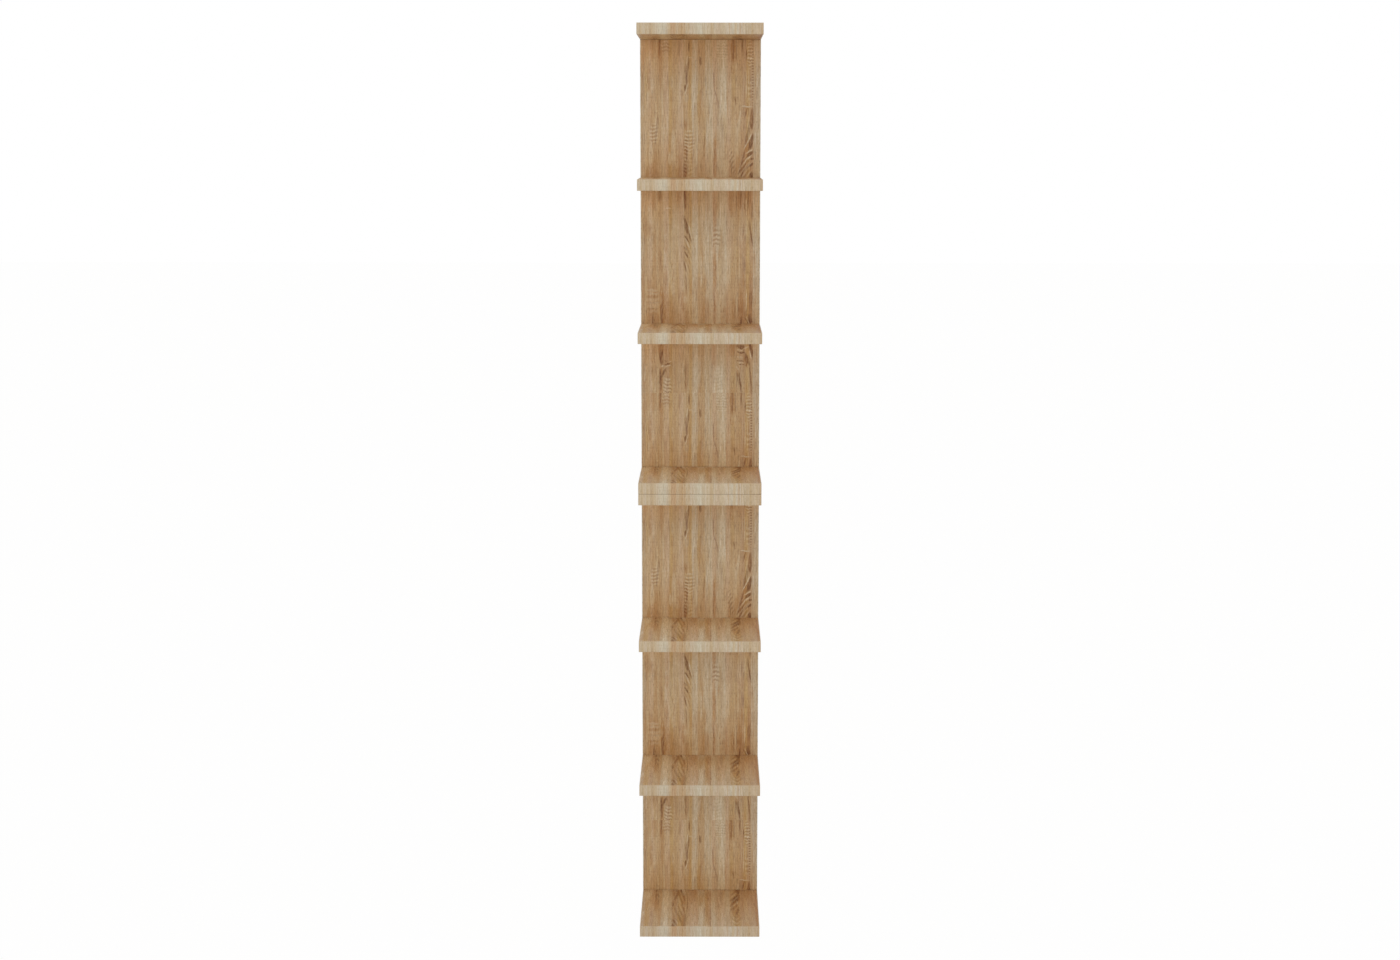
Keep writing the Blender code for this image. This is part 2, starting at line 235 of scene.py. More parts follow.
class Finish(Nodes):
    """A material made of nodes, with one Principled shader."""

    def __init__(self, name):
        self.material = bpy.data.materials.new(name)
        self.material.use_nodes = True
        super().__init__(self.material.node_tree)
        self.shader = self.tree.nodes["Principled BSDF"]

    def surface(self, **values):
        """Feeds the shader's sockets. Spaces in a socket's name are written as underscores."""
        self.feed(self.shader, {name.replace("_", " "): value for name, value in values.items()})

    def bump(self, height, distance, strength):
        """Raises the surface by height, which goes from 0 to 1, times distance."""
        sockets = {"Strength": strength, "Distance": distance, "Height": height}
        self.surface(Normal=self.node("ShaderNodeBump", {}, sockets))

    def place(self):
        """Object coordinates in millimetres: x, depth behind the front edge, drop below the module's top,
        and hang below the top of the whole shelf."""
        coordinates = self.node("ShaderNodeTexCoord", out="Object")
        split = self.node("ShaderNodeSeparateXYZ", {}, {"Vector": coordinates})
        x, y, z = (Wire(self, split.socket.node.outputs[axis]) for axis in "XYZ")
        hang = (UPPER_TOP - z) * (1 / MM)
        in_lower = z < LOWER_TOP + MODULE_GAP / 2
        drop = hang - in_lower * (MODULE_STEP / MM)
        return x * (1 / MM), (y - BAND_FRONT) * (1 / MM), drop, hang

    def noise(self, across, along, wide, long, detail=2.0, roughness=0.5, seed=0.0):
        """Noise about 0.5, whose patches are about wide by long millimetres."""
        spot = {"X": across * (1 / wide) + seed, "Y": along * (1 / long)}
        vector = self.node("ShaderNodeCombineXYZ", {}, spot)
        sockets = {"Vector": vector, "Scale": 1.0, "Detail": detail, "Roughness": roughness}
        return self.node("ShaderNodeTexNoise", {"noise_dimensions": "2D"}, sockets)

    def cloud(self, x, y, z, scale, detail):
        """Noise about 0.5 in three dimensions."""
        vector = self.node("ShaderNodeCombineXYZ", {}, {"X": x, "Y": y, "Z": z})
        return self.node("ShaderNodeTexNoise", {}, {"Vector": vector, "Scale": scale, "Detail": detail})

    def dot(self, vector, weights):
        """The dot product of a vector with three constants."""
        settings = {"operation": "DOT_PRODUCT"}
        return self.node("ShaderNodeVectorMath", settings, {0: vector, 1: weights}, "Value")

    def point(self, across, along):
        """A place on a face as two vectors: across, along and 1, and their three products of two."""
        flat = self.node("ShaderNodeCombineXYZ", {}, {"X": across, "Y": along, "Z": 1.0})
        squares = {"X": across * across, "Y": across * along, "Z": along * along}
        return flat, self.node("ShaderNodeCombineXYZ", {}, squares)

    def patch(self, place, ends, half_width, strength, under=0.0):
        """An ellipse whose long axis has these ends, laid over what lies under it. Its reach is the squared
        distance from its middle m in half axes, multiplied out: with the form F, it is p F p less 2 p F m
        plus m F m. The patch rises smoothly to its strength as the reach falls from 1 to a quarter."""
        first, last = np.array(ends[:2]), np.array(ends[2:])
        run, fall = last - first
        length = math.hypot(run, fall)
        middle = (first + last) / 2
        axes = np.array([[run, fall], [-fall, run]]) / length / [[length / 2], [half_width]]
        form = axes.T @ axes
        square = self.dot(place[1], (form[0, 0], 2 * form[0, 1], form[1, 1]))
        reach = self.dot(place[0], (*(-2 * form @ middle), middle @ form @ middle)) + square
        sockets = {"Value": reach, "From Min": 1.0, "From Max": 0.25, "To Min": under, "To Max": strength}
        return self.node("ShaderNodeMapRange", SMOOTH, sockets)

    def patches(self, place, marks):
        """A list of patches, the strongest on top."""
        total = 0.0
        for *ends, half_width, strength in sorted(marks, key=lambda mark: mark[-1]):
            total = self.patch(place, ends, half_width, strength, total)
        return total

    def mix(self, share, first, second, blend="MIX"):
        """The first colour turning to the second as share goes from 0 to 1. A Mix node's sockets for
        colours are inputs 6 and 7 and output 2."""
        settings = {"data_type": "RGBA", "blend_type": blend, "clamp_factor": True}
        return self.node("ShaderNodeMix", settings, {0: share, 6: first, 7: second}, out=2)

    def tinted(self, share, colour, tint):
        """The colour turning to the colour times the tint as share goes from 0 to 1."""
        return self.mix(share, colour, tint, "MULTIPLY")

    def dimmed_by_painted_shade(self, hang, colour):
        """Painted shade: the colour a little deeper towards the lowest boards, which deepens the light's
        falloff down the column.
        """
        return self.tinted(hang.rise(*PAINTED_DIMMING_HANG), colour, PAINTED_DIMMING)


PALE = screen(207, 190, 160)
GREIGE = screen(193, 172, 140)
BLUSH = screen(194, 166, 132)
TAN = screen(188, 158, 117)
OCHRE = screen(187, 153, 101)
CLAY = screen(180, 147, 109)
RUST = screen(167, 121, 68)
SMOKE = screen(150, 117, 87)
CHALK = screen(192, 180, 156)
CREAM = screen(192, 176, 151)
BISCUIT = screen(187, 168, 138)
TOFFEE = screen(180, 151, 115)
ASH = screen(186, 164, 134)
DUSK = screen(181, 155, 121)

# Tints that a colour is multiplied by
UMBER = (0.41, 0.27, 0.13, 1.0)
# Painted shade, warmer and deeper, on a panel just over each board
PAINTED_SHADE_OVER_BOARD = (0.95, 0.84, 0.68, 1.0)
# Painted warm shade at the back of a board and all over its underside
PAINTED_WARM_SHADE = (1.0, 0.86, 0.67, 1.0)
# Painted warm glow, brighter, on a panel just under each board
PAINTED_GLOW = (1.18, 1.04, 0.87, 1.0)
# Painted shade that dims the shelf towards its lowest boards
PAINTED_DIMMING = (0.93, 0.915, 0.92, 1.0)
FIBRE = (0.78, 0.58, 0.37, 1.0)
PORE = (0.31, 0.19, 0.09, 1.0)
LIME = (1.17, 1.35, 1.60, 1.0)

# Where the painted light and shade on the facing come in, in mm: how far below a board the painted glow
# reaches and above one the painted shade, from which depth to which a board turns to painted warm shade, and
# from which hang to which the shelf is dimmed by painted shade
PAINTED_GLOW_REACH = 75
PAINTED_SHADE_OVER_REACH = 85
PAINTED_WARM_SHADE_DEPTH = (5, 145)
PAINTED_DIMMING_HANG = (900, 1600)

# How far down a panel its print starts anew, in mm
PRINT_LENGTH = 587

# Strips of the facing, and where each begins, in mm from the middle. They differ from face to face.
PANEL_STRIPS = [
    (-100, DUSK), (-93, TAN), (-86, BLUSH), (-81, TAN), (-61, BLUSH), (-53, OCHRE), (-47, TAN), (-36, BLUSH),
    (-28, TAN), (-19, OCHRE), (-14, GREIGE), (-4, TAN), (8, GREIGE), (20, BLUSH), (27, GREIGE), (44, BLUSH),
    (50, TAN), (60, TAN), (67, CLAY), (76, OCHRE), (82, CLAY), (88.5, ASH),
]
BOARD_STRIPS = [
    (-100, GREIGE), (-94, OCHRE), (-86, BLUSH), (-79, TAN), (-66, GREIGE), (-62, PALE), (-55, GREIGE),
    (-48, CLAY), (-38, OCHRE), (-31, RUST), (-26, TAN), (-20.5, BLUSH), (-3, GREIGE), (8, TAN), (14, BLUSH),
    (20, GREIGE), (30, BLUSH), (42, GREIGE), (51, TAN), (57, OCHRE), (68, CLAY), (76, TAN), (82, CLAY),
    (96, RUST),
]
# The bands' strips are paler and greyer than the faces': the band's own tone with a painted sheen of the
# front light in it
BAND_STRIPS_WITH_SHEEN = [
    (-100, BISCUIT), (-92, CREAM), (-88, BISCUIT), (-70, CREAM), (-66, CHALK), (-53, CREAM), (-50, BISCUIT),
    (-47, CLAY), (-38, BISCUIT), (-33, TOFFEE), (-23, BISCUIT), (-16, CREAM), (-9, CHALK), (9, CREAM),
    (11, BISCUIT), (23, CREAM), (32, BISCUIT), (39, CREAM), (50, CHALK), (60, CREAM), (71, BISCUIT),
    (87, ASH),
]

# Marks in the facing, laid on in this order: a tone, then its patches. A patch is the two ends of its long
# axis, each across and along, and its half width, all in mm, and its strength.
PANEL_MARKS = [
    (OCHRE, [
        (-90, 55, -90, 120, 3.5, 0.6), (-50, 10, -49, 62, 3.5, 0.6), (-51, 120, -50, 215, 3, 0.3),
        (-18, 100, -20, 150, 2.2, 0.9), (-24, 158, -24, 192, 3.4, 0.6), (-3, 75, -3, 170, 3, 0.8),
        (55, 60, 56, 120, 4, 0.6), (68, 60, 67, 125, 3, 0.4), (81, 90, 76, 130, 4, 0.5),
        (25, 165, 25, 200, 3, 0.6), (6, 150, 7, 200, 3, 0.5), (-42, 215, -41, 250, 4, 0.5),
        (-42, 290, -41, 470, 5, 0.2), (-21, 338, -20, 395, 6.5, 0.7), (76, 280, 77, 315, 3, 0.5),
        (83, 300, 84, 350, 4, 0.6), (62, 350, 62, 405, 2.6, 0.6), (83, 375, 84, 415, 4, 0.5),
        (55, 540, 55, 640, 5, 0.6), (-30, 520, -30, 620, 6, 0.5), (23, 400, 23, 430, 2, 0.6),
        (3, 560, 2, 620, 3, 0.4), (84, 545, 86, 610, 3.4, 0.5), (-66, 600, -66, 660, 3.4, 0.5),
    ]),
    (RUST, [
        (-68, 12, -66, 62, 4.5, 0.7), (-66, 44, -66, 110, 3.5, 0.5), (-58, 12, -58, 46, 8, 0.35),
        (-80, 10, -80, 52, 9, 0.4), (-96, 5, -96, 92, 4, 0.6), (-25, 148, -24, 168, 3, 0.6),
        (-24, 188, -24.5, 216, 3.2, 0.8), (-25, 208, -25.5, 304, 3.8, 1.0), (-34, 204, -36, 296, 6, 0.6),
        (-2, 100, -2, 172, 2.6, 0.35), (22, 78, 24, 108, 2, 0.5), (24, 172, 25, 262, 4.5, 0.65),
        (54, 2, 54, 62, 6, 0.85), (59, 38, 60, 60, 2, 0.5), (-86, 46, -86, 112, 4, 0.55),
        (84, 174, 76, 198, 6, 0.6), (86, 200, 74, 214, 5, 0.5), (64, 204, 60, 240, 5, 0.4),
        (-72, 226, -72, 256, 4, 0.4), (79, 70, 79, 96, 4, 0.35), (54, 54, 54, 78, 4, 0.4),
        (29, 178, 29, 202, 3, 0.3), (-78, 298, -77, 472, 5, 0.45), (-59, 386, -59, 444, 4, 0.5),
        (-23, 460, -22, 500, 5, 0.5), (64, 408, 64, 442, 4, 0.4), (63, 462, 63, 500, 4, 0.5),
        (-66, 556, -66, 600, 5, 0.8), (64, 556, 65, 582, 5, 0.5), (34, 108, 34, 128, 3, 0.3),
        (-5, 220, -5, 250, 4, 0.35), (83, 124, 83, 148, 4, 0.4), (22, 176, 22, 202, 3, 0.4),
        (49, 68, 49, 94, 3, 0.3), (21, 412, 21, 442, 3, 0.45), (-57, 434, -57, 460, 4, 0.4),
        (-84, 444, -84, 474, 5, 0.35), (28, 334, 28, 360, 3, 0.3), (29, 428, 29, 454, 3, 0.35),
        (-85, 360, -86, 398, 4, 0.35), (-35, 466, -35, 496, 4, 0.35), (-78, 212, -77, 262, 6, 0.55),
        (-74, 195, -74, 240, 3, 0.4), (-88, 226, -88, 262, 4, 0.5), (85, 128, 84, 168, 4.5, 0.7),
        (86, 178, 73, 206, 5.5, 0.9), (75, 196, 68, 244, 6, 0.6), (86, 216, 76, 232, 5.5, 0.8),
        (56, 212, 56, 254, 3, 0.5), (49, 212, 50, 254, 3, 0.4), (78, 118, 77, 146, 4, 0.5),
        (62, 134, 62, 166, 3, 0.3), (-93, 300, -92, 352, 4, 0.5), (-84, 316, -84, 348, 10, 0.35),
        (-66, 355, -66, 440, 4, 0.4), (-65, 418, -62, 502, 6.5, 0.85), (-68, 262, -68, 288, 5, 0.5),
        (-78, 258, -78, 304, 5, 0.5), (-82, 378, -80, 470, 9, 0.4), (-80, 460, -79, 496, 12, 0.5),
        (-52, 440, -51, 502, 9, 0.5), (24, 258, 25, 346, 3.5, 0.5), (24, 358, 25, 442, 3.6, 0.6),
        (31, 360, 31, 388, 1.4, 0.5), (24, 436, 24, 496, 3.4, 0.6), (10, 440, 10, 498, 8, 0.45),
        (40, 455, 42, 498, 8, 0.4), (52, 252, 54, 314, 8, 0.55), (64, 252, 66, 302, 6, 0.6),
        (78, 252, 80, 316, 8, 0.5), (84, 424, 85, 490, 4.5, 0.4), (67, 425, 68, 504, 6, 0.75),
        (56, 440, 57, 496, 4, 0.5), (72, 402, 73, 428, 2.4, 0.5), (71, 345, 72, 372, 8, 0.25),
        (84, 394, 85, 424, 4, 0.4), (76, 464, 77, 504, 5, 0.5), (90, 362, 91, 412, 4, 0.5),
        (-58, 342, -58, 374, 4, 0.4), (-59, 308, -59, 342, 5, 0.35), (-96, 366, -96, 474, 4, 0.55),
        (-29, 428, -29, 474, 4, 0.5), (9, 402, 9, 442, 3, 0.4), (34, 415, 34, 470, 4, 0.25),
        (-66, 498, -66, 564, 5.5, 0.9), (-66.5, 556, -66.5, 650, 3.2, 0.8), (-56, 515, -55, 602, 9, 0.5),
        (-79, 508, -78, 604, 6, 0.45), (-94, 540, -94, 605, 4, 0.4), (-24, 540, -24, 610, 4, 0.4),
        (76, 536, 78, 564, 4.5, 0.8), (77, 588, 78, 618, 3, 0.4), (53, 588, 54, 642, 5, 0.5),
        (54, 508, 54, 548, 7, 0.45), (85, 508, 86, 548, 4, 0.5), (60, 588, 60, 616, 4, 0.4),
    ]),
    (PALE, [
        (38, 45, 38, 155, 7, 0.7), (32, 12, 33, 46, 8, 0.5), (-82, 180, -84, 230, 4, 0.5),
        (13, 138, 14, 190, 4, 0.5), (-12, 65, -12, 150, 4, 0.4), (42, 195, 44, 256, 6, 0.45),
        (10, 290, 8, 420, 6, 0.45), (-6, 320, -6, 430, 4, 0.5), (44, 350, 45, 440, 7, 0.4),
        (34, 262, 36, 345, 3.5, 0.4), (31, 548, 31, 654, 13, 1.0), (-51, 200, -51, 228, 3, 0.6),
        (-23, 105, -23, 123, 3, 0.6), (-94, 210, -94, 246, 3, 0.4), (-38, 184, -38, 210, 3, 0.4),
        (3, 262, 3, 360, 4, 0.35), (-44, 280, -44, 440, 4, 0.4), (-94, 554, -94, 592, 3, 0.5),
        (-39, 154, -39, 180, 3, 0.4), (28, 46, 28, 70, 3, 0.4), (-48, 74, -48, 102, 3, 0.35),
        (-40, 208, -40, 230, 3, 0.35), (-46, 414, -46, 444, 4, 0.4), (96, 554, 96, 586, 3, 0.5),
        (-95, 120, -95, 148, 3, 0.4), (22, 554, 22, 580, 3, 0.4), (-8, 515, -8, 640, 4, 0.6),
        (-45, 160, -45, 235, 6, 0.5), (-52, 340, -50, 440, 5, 0.4), (94, 30, 94, 600, 3, 0.3),
        (-26, 440, -25, 456, 4, 0.4), (-80, 78, -80, 112, 3, 0.5), (1, 368, 2, 430, 3.4, 0.5),
        (-2, 536, -2, 602, 3.4, 0.5), (3, 95, 3, 140, 3, 0.4),
    ]),
    (BLUSH, [
        (-80, 48, -78, 135, 5, 0.5), (-86, 108, -84, 142, 4, 0.6), (-36, 130, -37, 204, 5, 0.5),
        (-86, 355, -85, 425, 6, 0.5), (50, 300, 50, 400, 7, 0.5), (67, 320, 68, 375, 6, 0.6),
        (22, 133, 24, 166, 4, 0.7), (42, 176, 50, 214, 8, 0.4), (-10, 256, -9, 302, 6, 0.6),
        (-95, 196, -95, 256, 4, 0.6), (10, 200, 10, 256, 8, 0.4),
    ]),
    (SMOKE, [
        (-70, 135, -76, 195, 2.2, 0.5), (22, 62, 23, 104, 1.4, 0.7), (22.5, 96, 32, 130, 1.5, 0.7),
        (24, 118, 34, 132, 2.4, 0.3), (26, 140, 31, 164, 2, 0.4), (51, 195, 54, 235, 1.4, 0.5),
        (35, 138, 37, 190, 2, 0.35), (72, 316, 71, 348, 1.6, 0.6), (44, 300, 45, 340, 2, 0.3),
        (-24, 54, -23, 97, 3.6, 0.7), (73, 372, 74, 404, 2.8, 0.6), (-13, 118, -10, 150, 1.5, 0.3),
    ]),
    (UMBER, [
        (-18.5, 18, -19, 46, 1.7, 0.85), (-19.5, 42, -20.5, 74, 1.6, 0.75), (-20.5, 62, -24.5, 101, 1.2, 0.6),
        (-25.5, 90, -25, 104, 2.6, 0.95), (-27, 58, -26, 74, 2, 0.35), (-35, 18, -35, 52, 1.4, 0.35),
        (0, 45, 0, 62, 1.9, 0.65), (-28, 183, -21, 183.5, 1.0, 0.7), (-28, 190, -21, 190, 0.9, 0.6),
        (-23, 196, -23, 218, 1.6, 0.6), (-26, 212, -26, 266, 2.2, 0.4), (-66, 18, -68, 46, 1.8, 0.4),
        (86.4, 126, 85, 170, 3.4, 0.75), (87, 170, 79, 190, 3, 0.45), (84, 142, 73, 198, 3.2, 0.6),
        (79, 121, 72, 152, 1.1, 0.65), (88.8, 168, 80, 202, 4.2, 0.95), (88, 199, 77, 211, 4, 0.95),
        (89, 211, 83, 215, 2.6, 0.8), (89, 219, 80, 228, 3.2, 0.85), (88, 233, 81, 252, 4.4, 0.9),
        (75, 196, 62, 242, 2.6, 0.6), (76, 218, 66, 250, 2, 0.6), (50, 212, 53, 248, 1.3, 0.5),
        (6, 172, 6, 198, 1.4, 0.4), (-75, 178, -75, 192, 1.2, 0.6), (-71, 140, -69, 162, 1.3, 0.4),
        (22.5, 185, 23, 262, 1.2, 0.35), (-26, 256, -25.5, 304, 2.6, 0.7), (-28, 305, -19, 342, 3, 0.95),
        (-26, 319, -21, 341, 2.6, 0.75), (-21, 330, -14, 355, 1.6, 0.8), (-28, 338, -18, 353, 1.6, 0.75),
        (-29, 357, -20, 368, 1.8, 0.75), (-28, 365, -20, 379, 1.8, 0.75), (-28, 379, -23, 405, 2.2, 0.65),
        (-25, 400, -23, 440, 1.7, 0.45), (75, 268, 74, 304, 1.2, 0.55), (80, 258, 79, 304, 1.8, 0.6),
        (60, 258, 60.5, 302, 1.0, 0.6), (66, 258, 67, 302, 1.3, 0.5), (87, 280, 87, 320, 1.9, 0.65),
        (82, 314, 85, 346, 1.9, 0.6), (84, 331, 88.5, 361, 1.9, 1.0), (74, 339, 75, 354, 1.3, 0.5),
        (84, 428, 84, 472, 3.4, 0.35), (87, 424, 87.5, 482, 1.4, 0.5), (84, 469, 84, 491, 4.2, 0.8),
        (79, 484.5, 89, 485, 2.2, 0.9), (68, 470, 68, 502, 1.9, 0.8), (74, 477, 84, 493, 1.5, 0.7),
        (60, 489.5, 86, 490, 1.8, 0.4), (63, 430, 63, 472, 1.4, 0.4), (58, 450, 58, 484, 1.4, 0.4),
        (22.5, 425, 22.5, 494, 1.3, 0.55), (-66, 358, -67, 402, 1.4, 0.45), (-64, 446, -66, 502, 2.6, 0.65),
        (-79, 470, -80, 500, 3.2, 0.6), (-68, 262, -68, 282, 3, 0.45), (-66, 528, -65, 562, 4.5, 0.8),
        (-69, 560, -66.5, 592, 2.4, 0.8), (-58, 562, -66, 581, 2.4, 0.8), (-67.5, 573, -67, 606, 2.6, 0.65),
        (-68, -32, -67, 52, 2.4, 0.6), (-61, 558, -50, 555, 1.8, 0.9), (-61, 550, -56, 552, 1.6, 0.5),
        (60, 527, 76, 527, 4.6, 0.85), (82, 514, 88.5, 548, 3.2, 0.9), (74, 533, 84, 562, 3, 0.8),
        (83, 553, 87.5, 614, 1.9, 0.75), (83, -34, 87.5, 27, 1.9, 0.75), (61, 537.5, 77, 536, 1.8, 0.85),
        (60, 551, 75, 551, 1.6, 0.8), (64, 557.5, 75, 557, 1.6, 0.8), (75, 540, 78, 563, 2.4, 0.45),
        (65, 567, 70, 609, 2.4, 0.9), (61, 567, 66, 593, 2.8, 0.5), (-26, 552, -25, 604, 1.6, 0.5),
        (69, 0, 69, 39, 1.9, 0.65), (76, 29, 76, 55, 1.1, 0.75), (76, 52.5, 88, 52.5, 1.0, 0.65),
        (54, 0, 54, 60, 2.6, 0.4), (59.5, 2, 59.5, 60, 1.5, 0.45), (57, 108, 58.5, 127, 1.4, 0.7),
        (82, 26, 82, 120, 0.8, 0.3), (-53, 60, -53, 140, 0.9, 0.3), (62, 330, 62, 430, 1.0, 0.35),
        (-50, 296, -50, 440, 0.9, 0.35),
    ]),
    (PALE, [
        (-21.5, 41, -24, 63, 1.1, 0.8), (-19.5, 87, -27, 113, 1.3, 0.8), (-21, 48, -7, 48, 1.1, 0.7),
        (88, 164, 70, 201, 1.2, 0.8), (88, 195, 74, 206, 1.5, 0.8), (88, 204, 70, 222, 1.6, 0.9),
        (88, 216, 72, 236, 1.5, 0.8), (88, 229, 74, 248, 1.1, 0.5), (72, 200, 60, 245, 1.1, 0.4),
        (67, 130, 61, 182, 3, 0.4), (66, 127, 88, 127, 1.3, 0.8), (20.2, 10, 19.6, 600, 0.9, 0.4),
        (88.7, 10, 88.7, 605, 0.9, 0.5), (-20, 320, -15, 346, 1.6, 0.7), (-26, 344, -17, 363, 1.8, 0.75),
        (61, 534, 73, 531.5, 1.6, 0.85), (71, 532, 82, 525, 1.6, 0.8), (82, 529, 86, 549, 1.3, 0.85),
        (61, 545, 73, 545, 2.8, 0.5), (62, 554, 74, 554, 1.0, 0.7), (61, 559, 66, 569, 2, 0.45),
        (-68, 560.5, -60, 560, 1.4, 0.7), (-61, 561, -48, 558, 1.0, 0.8), (-54, 553, -48, 552.5, 1.1, 0.7),
        (-62, 583, -49, 583, 5, 0.35), (77.5, 423, 77.5, 482, 0.9, 0.7), (77, 475, 83, 490, 1.1, 0.7),
        (76.5, 274, 77, 317, 0.9, 0.65), (76, 49, 89, 49, 1.4, 0.8), (72, 50, 72, 120, 0.8, 0.4),
        (76, 58, 76, 118, 0.9, 0.5), (80, 50, 79, 124, 0.8, 0.35), (-63, 296, -47, 296, 1.5, 0.7),
        (-70, 282, -49, 282, 1.1, 0.4), (-94, 432, -69, 432, 2.6, 0.45), (-93, 453, -66, 453, 3.2, 0.5),
        (-88, 461, -69, 461, 1.4, 0.45), (-87.5, 288, -86, 302, 1.3, 0.6), (24, 47.5, 46, 47.5, 1.3, 0.6),
    ]),
]
# Bars of dark and pale grain inside a patch. After its half width come the step between the bars, the line
# that they are mirrored about, how far they lean (0 for the saw's level lines), and the shares of dark and
# of pale.
PANEL_BARS = [
    (-18, 158, -18, 208, 11, 6.0, 0, 0.0, 0.15, 0.60), (-24, 160, -25, 252, 4, 6.0, 0, 0.0, 0.45, 0.20),
    (82, 15, 82, 72, 6, 5.5, 0, 0.0, 0.25, 0.50), (-78, 150, -78, 192, 9, 6.0, 0, 0.0, 0.30, 0.50),
    (31, 556, 31, 640, 13, 6.5, 0, 0.0, 0.15, 0.35), (35, 16, 35, 52, 12, 4.5, 0, 0.0, 0.15, 0.50),
    (-56, 574, -56, 618, 9, 6.0, -120, -0.2, 0.55, 0.35), (27, 320, 27, 364, 8, 7.5, 0, 0.0, 0.45, 0.45),
    (-17, 205, -17, 262, 6, 7.0, 0, 0.0, 0.15, 0.25), (-58, 16, -58, 44, 9, 6.0, 0, 0.0, 0.20, 0.40),
    (82, 76, 82, 126, 5, 9.0, 0, 0.0, 0.15, 0.30), (82, 204, 64, 256, 11, 9.0, 120, -1.1, 0.40, 0.40),
    (-22, 335, -20, 410, 8, 14.0, -60, -2.4, 0.25, 0.20), (48, 192, 57, 244, 6, 9.0, 120, -1.5, 0.40, 0.20),
    (-80, 424, -80, 478, 14, 10.0, 0, 0.0, 0.20, 0.35),
]

BOARD_MARKS = [
    (RUST, [
        (-76, 195, -75, 60, 4, 0.6), (-35, 205, -34, 140, 10, 0.5), (-27, 84, -27, -25, 4, 0.5),
        (-43, 60, -45, -25, 4, 0.5), (13, 130, 15, -10, 4, 0.5), (62, 205, 65, 145, 6, 0.7),
        (60, 150, 57, 40, 5, 0.7), (-12, 205, -12, 130, 9, 0.45), (95, 165, 95, 5, 2, 0.6),
        (-84, 100, -84, -10, 3, 0.4), (14, 180, 14, 120, 5, 0.4), (81, 205, 80, 118, 6, 0.55),
        (-14, 152, -14, 108, 4, 0.4), (18, 188, 18, 92, 3, 0.5), (-96, 66, -96, -10, 4, 0.5),
        (66, 160, 67, 112, 4, 0.6), (62, 140, 61, 34, 5, 0.6), (66, 150, 62, 106, 5, 0.7),
        (65, 64, 65, 16, 4, 0.55), (-18, 196, -18, 164, 3, 0.4), (58, 164, 58, 136, 3, 0.4),
        (-19, 150, -19, 122, 3, 0.35), (79, 26, 79, -12, 4, 0.5),
    ]),
    (PALE, [
        (-60, 190, -59, 55, 5, 0.8), (-43, 196, -43, 164, 3, 0.4), (-71, 160, -71, 132, 3, 0.4),
        (-93, 190, -92, 110, 4, 0.5), (24, 190, 24, -20, 4, 0.4), (2, 136, 3, -20, 4, 0.8),
        (-29, 192, -28, 146, 4, 0.85), (-28, 114, -28, 90, 3, 0.5), (-89, 200, -88, 126, 5, 0.75),
        (-46, 152, -46, 122, 3, 0.6), (-57, 70, -57, -25, 4, 0.35), (47, 160, 47, 30, 3, 0.35),
    ]),
    (SMOKE, [
        (18, 108, 18, -25, 1.8, 0.6), (36, 200, 37, 100, 3, 0.4), (33, 118, 33, 86, 3, 0.4),
        (-81, 90, -80, -20, 3, 0.3), (8, 96, 8, 40, 1.4, 0.5),
    ]),
    (UMBER, [
        (66.8, 158, 54.5, 112, 4, 1.0), (64, 208, 66.5, 150, 4.4, 0.7), (67, 98, 62, 50, 3, 0.6),
        (69, 160, 60, 116, 4, 0.6), (57, 116, 53, 70, 1.8, 0.5), (61, 60, 62, -20, 2, 0.35),
        (-46.5, 116, -47, 94, 2.4, 0.7), (-34, 205, -33, 158, 2.6, 0.7), (-41, 205, -40, 166, 1.8, 0.6),
        (-40, 160, -47, 120, 1.5, 0.6), (-43.5, 44, -44.5, -25, 3.4, 0.65), (66, 150, 62, 108, 4, 0.5),
        (-38, 84, -31, 10, 2, 0.6), (-25, 70, -26, -25, 2.4, 0.5), (-77, 205, -76, 115, 1.8, 0.5),
        (-73, 190, -71, 90, 1.4, 0.45), (-21.5, 190, -21.5, -25, 1.0, 0.5),
    ]),
    (PALE, [
        (20, 205, 20, -25, 1.0, 0.5), (-36, 150, -42, 60, 1.4, 0.4), (62, 130, 66, 96, 1.4, 0.4),
    ]),
]
BOARD_BARS = [
    (-34, 205, -34, 100, 13, 52.0, -38, 7.5, 0.45, 0.30),
    (-35, 110, -35, 40, 13, 48.0, -24, -6.5, 0.45, 0.25), (-42, 44, -43, -8, 8, 26.0, -46, 3.5, 0.40, 0.30),
    (60, 185, 58, 66, 9, 26.0, 100, 2.4, 0.50, 0.35), (-74, 200, -74, 110, 7, 30.0, -74, 3.0, 0.35, 0.20),
    (60, 60, 62, -10, 9, 20.0, 62, -1.6, 0.25, 0.20),
]

# Half the width of the strips as a whole, the blending at a border, both in mm, and the stops that a ramp
# can hold
HALF_WIDTH = 100
STRIP_BLEND = 1.0
RAMP_STOPS = 32

# A dotted line that the saw left in the panel's print: its step, its place, and how strongly it shows
DOT_STEP = 4.6
DOT_ROW = ((86.6, 14, 86.6, 138), 2.2, 1.0)
DOT_DEPTH = 0.7

# Noise that bends strips and marks, frays them and wears them off: its size across and along in mm, its
# detail, roughness and seed
WANDER = (12, 70, 2.0, 0.5, 0.0)
RAGGED = (1.8, 16, 2.0, 0.6, 0.0)
WORN = (1.5, 12, 3.0, 0.65, 3.1)

# How much of the bend the strips follow, how far it shifts marks and bars along the grain and how far
# fraying shifts bars, in mm, and how much of a mark is left where it is worn
STRIP_BEND = 0.3
MARK_SHIFT = 6.0
BAR_SHIFT = 9.0
BAR_FRAYING = 3.0
LEFT_WHERE_WORN = 0.35

